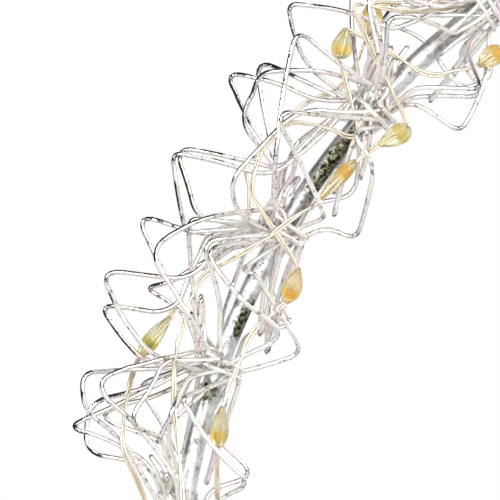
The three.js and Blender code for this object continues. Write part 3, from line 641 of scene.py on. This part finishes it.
def moulded_plastic(name, colour, grain=0.3):
    """Injection-moulded plastic with a fine spark-eroded texture and slight cloudiness."""
    material, nodes, links, shader = new_material(name)
    cloud = noise(nodes, links, scale=60, detail=3.0)
    darker = tuple(c * CLOUD_SHADE for c in colour)
    colours = ramp(nodes, links, cloud.outputs["Fac"], [(0.3, darker), (0.7, colour)])
    links.new(colours.outputs["Color"], shader.inputs["Base Color"])
    texture = noise(nodes, links, scale=4000, detail=2.0)
    rough = remap(nodes, links, texture.outputs["Fac"], low=0.42, high=0.6)
    links.new(rough.outputs["Result"], shader.inputs["Roughness"])
    bump(nodes, links, shader, texture.outputs["Fac"], strength=grain, distance=0.05 * MM)
    return material


def plated_metal(name, colour, roughness):
    """Nickel-plated sheet or screw, with fine wear."""
    material, nodes, links, shader = new_material(name)
    shader.inputs["Metallic"].default_value = 1.0
    wear = noise(nodes, links, scale=900, detail=5.0, roughness=0.65)
    darker = tuple(c * WEAR_SHADE for c in colour)
    colours = ramp(nodes, links, wear.outputs["Fac"], [(0.3, darker), (0.45, colour), (0.8, colour)])
    links.new(colours.outputs["Color"], shader.inputs["Base Color"])
    rough = remap(nodes, links, wear.outputs["Fac"], low=roughness + WEAR_ROUGHNESS, high=roughness)
    links.new(rough.outputs["Result"], shader.inputs["Roughness"])
    return material


def battery_sleeve():
    """A plain grey-green cell sleeve between bare metal ends."""
    material, nodes, links, shader = new_material("battery_sleeve")
    ends = [corner.x for name in ("battery_1", "battery_2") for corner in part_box(name)]
    half = (max(ends) - min(ends)) / 2 - BARE_END
    place = nodes.new("ShaderNodeTexCoord")
    split = nodes.new("ShaderNodeSeparateXYZ")
    links.new(place.outputs["Object"], split.inputs["Vector"])
    offset = nodes.new("ShaderNodeMath")
    offset.operation = "SUBTRACT"
    offset.inputs[1].default_value = (max(ends) + min(ends)) / 2
    links.new(split.outputs["X"], offset.inputs[0])
    across = nodes.new("ShaderNodeMath")
    across.operation = "ABSOLUTE"
    links.new(offset.outputs[0], across.inputs[0])
    edge = half + SLEEVE_EDGE
    bare = remap(nodes, links, across.outputs[0], low=0.0, high=1.0, from_low=half, from_high=edge)
    smear = noise(nodes, links, scale=200, detail=3.0)
    sleeve = ramp(nodes, links, smear.outputs["Fac"], [(0.3, (0.10, 0.17, 0.15)), (0.7, (0.13, 0.21, 0.19))])
    steel = ramp(nodes, links, smear.outputs["Fac"], [(0.3, (0.60, 0.58, 0.54)), (0.7, (0.75, 0.73, 0.69))])
    colour = mix(nodes, links, bare.outputs["Result"], sleeve.outputs["Color"], steel.outputs["Color"])
    links.new(colour, shader.inputs["Base Color"])
    links.new(bare.outputs["Result"], shader.inputs["Metallic"])
    rough = remap(nodes, links, smear.outputs["Fac"], low=0.24, high=0.38)
    links.new(rough.outputs["Result"], shader.inputs["Roughness"])
    return material


def board_lacquer():
    """Green solder lacquer over faint copper tracks."""
    material, nodes, links, shader = new_material("board")
    place = nodes.new("ShaderNodeTexCoord")
    bricks = nodes.new("ShaderNodeTexBrick")
    bricks.inputs["Scale"].default_value = 300
    bricks.inputs["Color1"].default_value = (0.02, 0.16, 0.07, 1)
    bricks.inputs["Color2"].default_value = (0.03, 0.20, 0.09, 1)
    bricks.inputs["Mortar"].default_value = (0.05, 0.30, 0.13, 1)
    links.new(place.outputs["Object"], bricks.inputs["Vector"])
    links.new(bricks.outputs["Color"], shader.inputs["Base Color"])
    shader.inputs["Roughness"].default_value = 0.3
    return material


MATERIALS = {
    "silver_wire": silver_wire(),
    "galvanised_rod": galvanised_rod(),
    "string_wire": string_wire(),
    "drop_resin": drop_resin(),
    "case_plastic": moulded_plastic("case_plastic", (0.68, 0.68, 0.67)),
    "knob_plastic": moulded_plastic("knob_plastic", (0.035, 0.035, 0.04)),
    "grommet_rubber": moulded_plastic("grommet_rubber", (0.70, 0.70, 0.69), grain=0.15),
    "nickel": plated_metal("nickel", (0.78, 0.76, 0.71), roughness=0.2),
    "battery_sleeve": battery_sleeve(),
    "board": board_lacquer(),
}


# ---------------------------------------------------------------- pieces

def by_rod(angle, out, back):
    """The point at an angle round the ring, so far out from the rod's centreline and so far back."""
    reach = RING_RADIUS + out
    return np.array([CENTRE.x + reach * math.cos(angle), CENTRE.y + back, CENTRE.z + reach * math.sin(angle)])


def round_rod(angle, turn, radius):
    """The point at an angle round the ring and a turn round the rod."""
    return by_rod(angle, radius * math.cos(turn), radius * math.sin(turn))


def slack_hairpins(knot, rng):
    """Short crinkled hairpins of slack wire that stand out of a knot into the next bay."""
    points = []
    for _ in range(rng.randint(*HAIRPINS)):
        length = rng.uniform(*SLACK_LENGTH)
        tip = by_rod(knot - length / RING_RADIUS, rng.uniform(*SLACK_OUT), rng.uniform(*SLACK_BACK))
        start = knot - rng.uniform(*SLACK_SHIFT) / RING_RADIUS
        base = round_rod(start, rng.uniform(*SLACK_TURN), HAIRPIN_BASE)
        points += [crinkle(base, tip, share, rng) for share in CRINKLES_OUT] + [tip]
        points += [crinkle(base, tip, share, rng) for share in CRINKLES_BACK] + [base]
    return points


def long_hairpins(knot, rng):
    """Longer, straighter passes of slack wire from the knot back over the skein's own bay."""
    points = []
    for _ in range(rng.randint(*HAIRPINS)):
        length = rng.uniform(*PASS_LENGTH)
        tip = by_rod(knot + length / RING_RADIUS, rng.uniform(*PASS_OUT), rng.uniform(*PASS_BACK))
        start = knot + rng.uniform(*PASS_SHIFT) / RING_RADIUS
        base = round_rod(start, rng.uniform(*PASS_TURN), HAIRPIN_BASE)
        points += [tip, base]
    return points


def crinkle(base, tip, share, rng):
    """A point on the way from base to tip, a little off the straight line."""
    off = np.array([rng.gauss(0, CRINKLE) for _ in range(3)])
    return base + (tip - base) * share + off


def knot_wrap(points, knot, rng):
    """The wire's last turns, tight over the knot, and its cut tail, in place of the frame's plain turn."""
    local = points[0] - np.array(CENTRE)
    first = math.atan2(local[1], math.hypot(local[0], local[2]) - RING_RADIUS)
    steps = int(WRAP_TURNS * WRAP_TURN_STEPS)
    turns = []
    for k in range(steps + 1):
        turn = first + 2 * math.pi * WRAP_TURNS * k / steps
        along = WRAP_PITCH * WRAP_TURNS * (k / steps - 0.5)
        radius = WRAP_RADIUS + rng.uniform(-WRAP_WANDER, WRAP_WANDER)
        turns.append(round_rod(knot - along / RING_RADIUS, turn, radius))
    away = unit(turns[-1] - turns[-2]) + TAIL_FLARE * unit(turns[-1] - round_rod(knot, 0, 0))
    turns.append(turns[-1] + unit(away) * rng.uniform(*TAIL_LENGTH))
    return turns


def fine_skein(name):
    """Round, eased wire for one skein, in place of its plain tube."""
    points, _ = tube_route(name)
    reaches = rod_distance(points)
    if np.ptp(reaches[:WRAP_POINTS]) < np.ptp(reaches[-WRAP_POINTS:]):
        points = points[::-1]
    rng = random.Random(f"{name} {SKEIN_SEED}")
    zigzag, wrap = points[:-WRAP_POINTS], points[-WRAP_POINTS:]
    middle = wrap.mean(axis=0) - np.array(CENTRE)
    knot = math.atan2(middle[2], middle[0])
    clear_of_box = abs(knot + math.pi / 2) > BOX_SPAN
    slack = long_hairpins(knot, rng) + slack_hairpins(knot, rng) if clear_of_box else []
    bent = rounded_route(np.array([*zigzag, *slack, wrap[0]]), rng)
    route = np.vstack([bent[:-1], knot_wrap(wrap, knot, rng)])
    radii = np.full(len(route), WIRE_RADIUS)
    radii[[0, -1]] *= CUT_END
    far = rod_distance(route)
    # Painted shade on the wire: dark patches at tight bends, fewer near the rod, and a dark outer half on the
    # outer loops
    sharp = bend_sharpness(route) * np.clip(far / OUTSIDE, SHARP_AT_ROD, 1)
    hazed = np.clip((DULL_NONE - far) / (DULL_NONE - DULL_FULL), 0, 1)
    vertices, faces = sweep(route, radii, WIRE_SIDES)
    bend, dull = np.repeat(sharp, WIRE_SIDES), np.repeat(hazed, WIRE_SIDES)
    pile = Pile("bend", "dark_side_shade", "dull")
    pile.add(vertices, faces, bend, painted_dark_side(vertices, WIRE_SIDES), dull)
    piece = pile.build(f"{name}_fine", MATERIALS["silver_wire"])
    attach(piece, "wreath")
    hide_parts(name)


def fine_rod():
    """The rod ring: round, a hair uneven, stained in places and painted with dark reflection on its front,
    with its butt weld at the lower right.
    """
    rng = random.Random("rod")
    waves = [
        (rng.randint(*SWELL_COUNT), rng.uniform(*SWELL_SHIFT), rng.uniform(*SWELL_SIZE))
        for _ in range(SWELLS)
    ]
    # The listed marks are painted dark reflection on the rod's front; the stray ones are stains and tarnish
    # anywhere on it
    stains_and_reflections = ROD_DARK_REFLECTIONS + stray_marks(STRAY_STAINS, rng)
    tarnish_and_reflection = ROD_REFLECTION_BANDS + stray_marks(STRAY_TARNISH, rng)
    vertices, stain_and_reflection_depth, tarnish_and_reflection_depth = [], [], []
    for angle in np.linspace(0, 2 * math.pi, ROD_STEPS, endpoint=False):
        swell = sum(size * math.sin(count * angle + shift) for count, shift, size in waves)
        bead = WELD_HEIGHT * math.exp(-((arc_apart(angle, WELD_ANGLE) * RING_RADIUS / WELD_WIDTH) ** 2))
        for turn in np.linspace(0, 2 * math.pi, ROD_SIDES, endpoint=False):
            radius = ROD_RADIUS + swell + bead * (1 + WELD_RIPPLE * math.sin(WELD_RIPPLES * turn))
            vertices.append(round_rod(angle, turn, radius))
            stain_and_reflection_depth.append(max(mark_depth(angle, turn, mark) for mark in stains_and_reflections))
            tarnish_and_reflection_depth.append(max(mark_depth(angle, turn, mark) for mark in tarnish_and_reflection))
    count = len(vertices)
    faces = []
    for start in range(0, count, ROD_SIDES):
        after = (start + ROD_SIDES) % count
        for k in range(ROD_SIDES):
            n = (k + 1) % ROD_SIDES
            faces.append((start + k, start + n, after + n, after + k))
    pile = Pile("stain_and_reflection", "tarnish_and_reflection")
    pile.add(np.array(vertices), faces, np.array(stain_and_reflection_depth), np.array(tarnish_and_reflection_depth))
    piece = pile.build("ring_rod_fine", MATERIALS["galvanised_rod"])
    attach(piece, "wreath")
    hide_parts("ring_rod")


def arc_apart(first, second):
    """The angle between two directions, from -pi to pi."""
    return (first - second + math.pi) % (2 * math.pi) - math.pi


def stray_marks(count, rng):
    """Marks of the kinds above, anywhere on the rod."""
    return [(rng.uniform(-180, 180), rng.uniform(*STRAY_LENGTH), rng.uniform(0, 360)) for _ in range(count)]


def mark_depth(angle, turn, mark):
    """How strongly a mark shows at one point of the rod: fully in its middle, hardly at all past its edge."""
    place, length, side = mark
    along = arc_apart(angle, math.radians(place)) * RING_RADIUS / length
    around = arc_apart(turn, math.radians(side)) / MARK_WIDTH
    return math.exp(-along ** FLAT_MIDDLE - around ** FLAT_MIDDLE)


def split_string(centres, radii):
    """The string's own route points, the two ends of each resin drop, and the legs that drops lie on."""
    route, drops = [], []
    for i, (centre, radius) in enumerate(zip(centres, radii)):
        if radius < DROP_CORE:
            route.append(centre)
        elif radii[i - 1] < DROP_CORE:
            drops.append(len(route) - 1)
    route = np.array(route)
    return route, [(route[i], route[i + 1]) for i in drops], set(drops)


def string_route(points, drops, rng):
    """The string's centreline: eased bends, straight through each drop."""
    legs = np.linalg.norm(np.diff(points, axis=0), axis=1)
    route = [points[0]]
    start = points[0]
    for i in range(1, len(points) - 1):
        reach = min(rng.uniform(*STRING_BEND), STRING_LEG_SHARE * legs[i - 1], STRING_LEG_SHARE * legs[i])
        before = min(reach, STRING_DROP_SHARE * legs[i - 1]) if i - 1 in drops else reach
        after = min(reach, STRING_DROP_SHARE * legs[i]) if i in drops else reach
        into = points[i] - before * unit(points[i] - points[i - 1])
        away = points[i] + after * unit(points[i + 1] - points[i])
        if i - 1 in drops:
            route += [start + (into - start) * t for t in STRING_DROP_POINTS]
        else:
            route += bowed_leg(start, into, rng)
        route += eased_bend(into, points[i], away)
        start = away
    route += bowed_leg(start, points[-1], rng)
    route.append(points[-1])
    return np.array(route)


def light_string():
    """Two lacquered wires side by side through every drop, the drops, and a light chip in each."""
    rng = random.Random("light string")
    points, ends, drops = split_string(*tube_route("light_string"))
    route = string_route(points, drops, rng)
    u, v = normals_along(route)
    along = np.concatenate([[0], np.cumsum(np.linalg.norm(np.diff(route, axis=0), axis=1))])
    phase = 2 * math.pi * along / STRAND_TURN + STRAND_SWAY * np.sin(along / STRAND_SWAY_LENGTH)
    side = np.cos(phase)[:, None] * u + np.sin(phase)[:, None] * v
    pile = Pile()
    for sign in (-1, 1):
        strand = route + sign * STRAND_OFFSET * side
        pile.add(*sweep(strand, STRAND_RADIUS, STRAND_SIDES))
    piece = pile.build("string_wires", MATERIALS["string_wire"])
    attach(piece, "wreath")
    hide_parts("light_string")
    resin, chips = Pile("amber", "layer"), Pile("amber")
    picks = random.Random(DROP_SEED)
    for low, high in ends:
        pair = (high, low) if picks.random() < DROP_TURNED else (low, high)
        add_drop(resin, chips, pair, picks.random(), rng)
    for made in (resin.build("resin_drops", MATERIALS["drop_resin"]), chips.build("light_chips", phosphor())):
        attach(made, "wreath")


def add_drop(resin, chips, ends, amber, rng):
    """One pear-shaped drop from its blunt end to its neck, and the light chip in its widest part.

    Each drop holds about the same resin, so a long one is thin.
    """
    low, high = ends
    length = np.linalg.norm(high - low)
    sag = random_side(high - low, rng) * rng.uniform(*DROP_SAG)
    widest = min(rng.uniform(*DROP_RADIUS) * (DROP_LENGTH / length) ** DROP_THINNING, DROP_RADIUS[1])
    skew = rng.uniform(*DROP_SKEW)
    shares = np.linspace(0, 1, DROP_STEPS)
    route = np.array([low + (high - low) * t + sag * math.sin(math.pi * t) for t in shares])
    sizes = DROP_NECK + (1 - DROP_NECK) * np.sin(math.pi * shares ** skew)
    layer = np.exp(-(((shares - CLOUD_PLACE) / CLOUD_HALF) ** FLAT_MIDDLE))
    resin.add(*sweep(route, widest * sizes, DROP_SIDES), amber, np.repeat(layer, DROP_SIDES))
    middle = low + (high - low) * CLOUD_PLACE + sag * CHIP_SAG
    half = unit(high - low) * CHIP_LENGTH / 2
    chip = np.array([middle - half, middle, middle + half])
    chips.add(*sweep(chip, CHIP_RADIUS, CHIP_SIDES), amber)


def coil_spring(name, row):
    """An open conical coil and its plate, in place of the plain cone."""
    low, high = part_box(name)
    cell_low, cell_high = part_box(f"battery_{row}")
    middle = (cell_low + cell_high) / 2
    towards = 1 if row == 1 else -1
    plate_x = low.x if towards > 0 else high.x
    length = (high.x - low.x - COIL_SHORTER) * COIL_SHARE
    route = []
    for t in np.linspace(0, 1, COIL_TURNS * COIL_TURN_STEPS + 1):
        angle = 2 * math.pi * COIL_TURNS * t
        radius = COIL_BASE_RADIUS - COIL_TAPER * t
        x = plate_x + towards * (COIL_START + length * t)
        route.append((x, middle.y + radius * math.cos(angle), middle.z + radius * math.sin(angle)))
    pile = Pile()
    pile.add(*sweep(np.array(route), COIL_WIRE, COIL_SIDES))
    near, far = sorted((plate_x, plate_x + towards * PLATE_THICKNESS))
    pile.add(*eased_box(Vector((near, low.y, low.z)), Vector((far, high.y, high.z))))
    piece = pile.build(f"{name}_fine", MATERIALS["nickel"])
    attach(piece, "wreath")
    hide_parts(name)


def eased_box(low, high):
    """Vertices and faces of the box between two corners, with a small bevel."""
    made = bmesh.new()
    bmesh.ops.create_cube(made, size=1)
    bmesh.ops.scale(made, vec=high - low, verts=made.verts)
    bmesh.ops.translate(made, vec=(low + high) / 2, verts=made.verts)
    bmesh.ops.bevel(made, geom=made.edges[:], offset=PLATE_BEVEL, segments=EASE_SEGMENTS, affect="EDGES")
    made.verts.ensure_lookup_table()
    vertices = np.array([v.co for v in made.verts])
    faces = [tuple(v.index for v in face.verts) for face in made.faces]
    made.free()
    return vertices, faces


def finish_cad_node(name, slot, bevel):
    """A carried-over node: its own material, and its hard edges eased."""
    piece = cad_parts[name]
    piece.data.materials.clear()
    piece.data.materials.append(MATERIALS[slot])
    weld = piece.modifiers.new("weld", "WELD")
    weld.merge_threshold = MERGE_REACH
    ease = piece.modifiers.new("bevel", "BEVEL")
    ease.width = bevel
    ease.segments = EASE_SEGMENTS
    ease.limit_method = "ANGLE"
    ease.angle_limit = HARD_EDGE
    ease.use_clamp_overlap = True


fine_rod()
for skein in sorted(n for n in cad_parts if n.startswith("wire_skein")):
    fine_skein(skein)
light_string()
for row in (1, 2):
    coil_spring(f"spring_contact_{row}", row)
for name, slot, bevel in (
    ("case_base", "case_plastic", 0.3 * MM),
    ("battery_cover", "case_plastic", 0.25 * MM),
    ("board_cover", "case_plastic", 0.2 * MM),
    ("switch_knob", "knob_plastic", 0.12 * MM),
    ("cover_screw", "nickel", 0.08 * MM),
    ("circuit_board", "board", 0.08 * MM),
    ("string_grommet", "grommet_rubber", 0.1 * MM),
    ("battery_1", "battery_sleeve", 0.1 * MM),
    ("battery_2", "battery_sleeve", 0.1 * MM),
    ("button_contact_1", "nickel", 0.08 * MM),
    ("button_contact_2", "nickel", 0.08 * MM),
):
    finish_cad_node(name, slot, bevel)


# ---------------------------------------------------------------- camera, light and floor

# The camera: the width it sees at the ring, and how far across and up from the ring's middle it looks
VIEW_WIDTH = 111.8 * MM
VIEW_OFFSET = (-155.1 * MM, 83.5 * MM)
CAMERA_DISTANCE = 1.5
CAMERA_REACH = 50
SENSOR = 36.0

# The floor: how far below the wreath it lies, how white it looks near the middle, and where it fades
FLOOR_RADIUS = 4.0
FLOOR_SIDES = 96
FLOOR_GAP = 0.06
FLOOR_COLOUR = (0.86, 0.86, 0.86, 1)
FLOOR_ROUGHNESS = 0.7
FLOOR_WHITENESS = 0.45
FLOOR_PLAIN = 0.5
FLOOR_FADED = 2.6

# Lamps: name, place, target, size and power
LAMPS = [
    ("key", (-0.9, -1.3, 0.9), (0, 0, -0.15), (0.9, 0.9), 3),
    ("fill", (1.2, -1.0, 0.2), (0, 0, -0.15), (1.2, 0.8), 1),
    ("rear", (0.4, 1.4, 0.7), (0, 0, -0.15), (0.9, 0.9), 2),
    ("glint", (-1.15, -0.72, 0.35), (-0.12, 0, -0.05), (0.14, 0.14), 5),
]

# The studio as the metal sees it: direction, half angle and soft edge in degrees, and brightness
SOFTBOXES = [
    ((0.08, -1.0, 0.05), 40, 8, 2.8),
    ((0.42, -0.80, -0.42), 14, 12, 0.45),
    ((-0.95, -0.50, -0.10), 20, 8, 0.0),
    ((0.10, -0.45, -0.95), 18, 8, 0.0),
    ((1.0, 0.0, 0.15), 16, 8, 1.3),
    ((0.50, 0.30, 0.80), 20, 10, 1.4),
    ((0.75, 0.62, 0.22), 26, 12, 1.6),
    ((-0.55, 0.80, 0.25), 14, 10, 1.2),
]

# How often light is followed on from surface to surface, in all and through clear resin
BOUNCES = 10
RESIN_BOUNCES = 8


def make_camera():
    data = bpy.data.cameras.new("camera")
    data.sensor_width = SENSOR
    data.lens = SENSOR * CAMERA_DISTANCE / VIEW_WIDTH
    data.clip_end = CAMERA_REACH
    camera = bpy.data.objects.new("camera", data)
    bpy.context.scene.collection.objects.link(camera)
    camera.location = CENTRE + Vector((VIEW_OFFSET[0], -CAMERA_DISTANCE, VIEW_OFFSET[1]))
    camera.rotation_euler = (math.pi / 2, 0, 0)
    bpy.context.scene.camera = camera


def area_light(name, location, target, size, power):
    data = bpy.data.lights.new(name, "AREA")
    data.shape = "RECTANGLE"
    data.size, data.size_y = size
    data.energy = power
    light = bpy.data.objects.new(name, data)
    bpy.context.scene.collection.objects.link(light)
    light.location = location
    light.rotation_euler = (Vector(target) - Vector(location)).to_track_quat("-Z", "Y").to_euler()


def studio_world():
    """A white studio to look at; the metal sees softboxes among dark flags, which give it its lines."""
    world = bpy.data.worlds.new("studio")
    bpy.context.scene.world = world
    world.use_nodes = True
    nodes, links = world.node_tree.nodes, world.node_tree.links
    background = nodes["Background"]
    place = nodes.new("ShaderNodeTexCoord")
    direction = place.outputs["Generated"]
    flags = nodes.new("ShaderNodeTexNoise")
    flags.inputs["Scale"].default_value = 1.6
    flags.inputs["Detail"].default_value = 1.0
    links.new(direction, flags.inputs["Vector"])
    seen = ramp(nodes, links, flags.outputs["Fac"], [
        (0.58, (0.006, 0.004, 0.008)), (0.62, (0.20, 0.18, 0.20)), (0.70, (1.0, 1.0, 1.0))]).outputs["Color"]
    for towards, half, soft, brightness in SOFTBOXES:
        aim = nodes.new("ShaderNodeVectorMath")
        aim.operation = "DOT_PRODUCT"
        links.new(direction, aim.inputs[0])
        aim.inputs[1].default_value = Vector(towards).normalized()
        outer, inner = math.cos(math.radians(half + soft)), math.cos(math.radians(half))
        edge = remap(nodes, links, aim.outputs["Value"], low=0, high=1, from_low=outer, from_high=inner)
        edge.interpolation_type = "SMOOTHSTEP"
        light = nodes.new("ShaderNodeRGB")
        light.outputs[0].default_value = (brightness, brightness, brightness, 1)
        seen = mix(nodes, links, edge.outputs["Result"], seen, light.outputs[0])
    path = nodes.new("ShaderNodeLightPath")
    white = nodes.new("ShaderNodeRGB")
    white.outputs[0].default_value = (1, 1, 1, 1)
    seen = mix(nodes, links, path.outputs["Is Camera Ray"], seen, white.outputs[0])
    links.new(seen, background.inputs["Color"])


def floor():
    """A pale round floor that looks nearly white and fades into the studio's white, so it has no edge."""
    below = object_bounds()[0][2] - FLOOR_GAP
    bpy.ops.mesh.primitive_circle_add(vertices=FLOOR_SIDES, radius=FLOOR_RADIUS, fill_type="NGON")
    plane = bpy.context.object
    plane.location.z = below
    plane.name = "floor"
    material, nodes, links, shader = new_material("floor")
    shader.inputs["Base Color"].default_value = FLOOR_COLOUR
    shader.inputs["Roughness"].default_value = FLOOR_ROUGHNESS
    place = nodes.new("ShaderNodeTexCoord")
    reach = nodes.new("ShaderNodeVectorMath")
    reach.operation = "LENGTH"
    links.new(place.outputs["Object"], reach.inputs[0])
    fade = remap(nodes, links, reach.outputs["Value"],
                 low=FLOOR_WHITENESS, high=1.0, from_low=FLOOR_PLAIN, from_high=FLOOR_FADED)
    fade.interpolation_type = "SMOOTHSTEP"
    path = nodes.new("ShaderNodeLightPath")
    seen = nodes.new("ShaderNodeMath")
    seen.operation = "MULTIPLY"
    links.new(fade.outputs["Result"], seen.inputs[0])
    links.new(path.outputs["Is Camera Ray"], seen.inputs[1])
    white = nodes.new("ShaderNodeEmission")
    blend = nodes.new("ShaderNodeMixShader")
    links.new(seen.outputs[0], blend.inputs["Fac"])
    links.new(shader.outputs["BSDF"], blend.inputs[1])
    links.new(white.outputs["Emission"], blend.inputs[2])
    links.new(blend.outputs["Shader"], nodes["Material Output"].inputs["Surface"])
    plane.data.materials.append(material)
    plane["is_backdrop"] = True


make_camera()
studio_world()
for lamp in LAMPS:
    area_light(*lamp)
floor()

scene = bpy.context.scene
scene.view_settings.view_transform = "Standard"
scene.cycles.max_bounces = BOUNCES
scene.cycles.transmission_bounces = RESIN_BOUNCES
